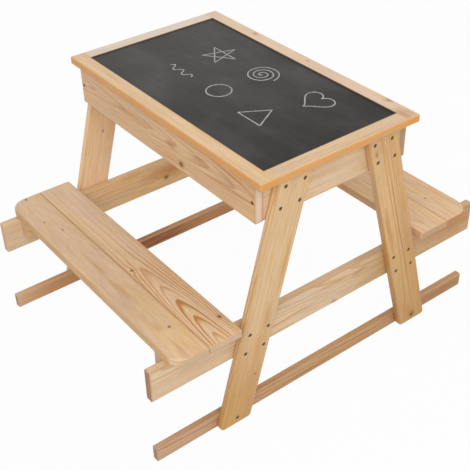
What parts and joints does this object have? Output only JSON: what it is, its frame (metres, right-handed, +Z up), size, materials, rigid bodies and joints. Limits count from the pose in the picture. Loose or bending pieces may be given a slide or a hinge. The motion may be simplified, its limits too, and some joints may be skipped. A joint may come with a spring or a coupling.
{
  "type": "kids picnic table",
  "caption": "Small child's picnic table in pine with splayed legs, attached plank benches and a lift-off framed chalkboard top over a shallow play box.",
  "frame": {"origin": "on the floor, under the middle of the table top", "axes": "+X along the top towards the near end, +Y across the top towards the right-hand bench, +Z up"},
  "size_m": [0.604, 0.7934, 0.51],
  "materials": {
    "pine": "satin",
    "hardwood": "satin",
    "floor_panel": "satin",
    "chalkboard_face": "matte",
    "screw_steel": "satin"
  },
  "bodies": {
    "table_frame": {"left_long_apron": "pine", "right_long_apron": "pine", "near_end_apron": "pine", "far_end_apron": "pine", "left_floor_ledger": "pine", "right_floor_ledger": "pine", "near_floor_ledger": "pine", "far_floor_ledger": "pine", "box_floor": "floor_panel", "near_left_leg": "pine", "near_right_leg": "pine", "far_left_leg": "pine", "far_right_leg": "pine", "near_seat_beam": "pine", "far_seat_beam": "pine", "near_foot_rail": "pine", "far_foot_rail": "pine", "left_bench_inner_board": "pine", "left_bench_outer_board": "pine", "right_bench_inner_board": "pine", "right_bench_outer_board": "pine", "near_left_bench_cleat": "pine", "near_right_bench_cleat": "pine", "far_left_bench_cleat": "pine", "far_right_bench_cleat": "pine", "leg_head_screws": "screw_steel", "seat_beam_screws": "screw_steel", "foot_rail_screws": "screw_steel", "apron_corner_screws": "screw_steel", "bench_cleat_screws": "screw_steel", "bench_board_screws": "screw_steel", "floor_ledger_screws": "screw_steel", "box_floor_screws": "screw_steel"},
    "lid": {"left_top_rail": "pine", "right_top_rail": "pine", "near_top_rail": "pine", "far_top_rail": "pine", "rail_dowels": "hardwood", "chalkboard": "chalkboard_face", "near_top_stiffener": "pine", "far_top_stiffener": "pine", "locating_pegs": "hardwood"}
  },
  "joints": [
    {"name": "top_lift", "type": "slide", "parent": "table_frame", "child": "lid", "axis": [0, 0, 1], "range_m": [0, 0.15]}
  ]
}
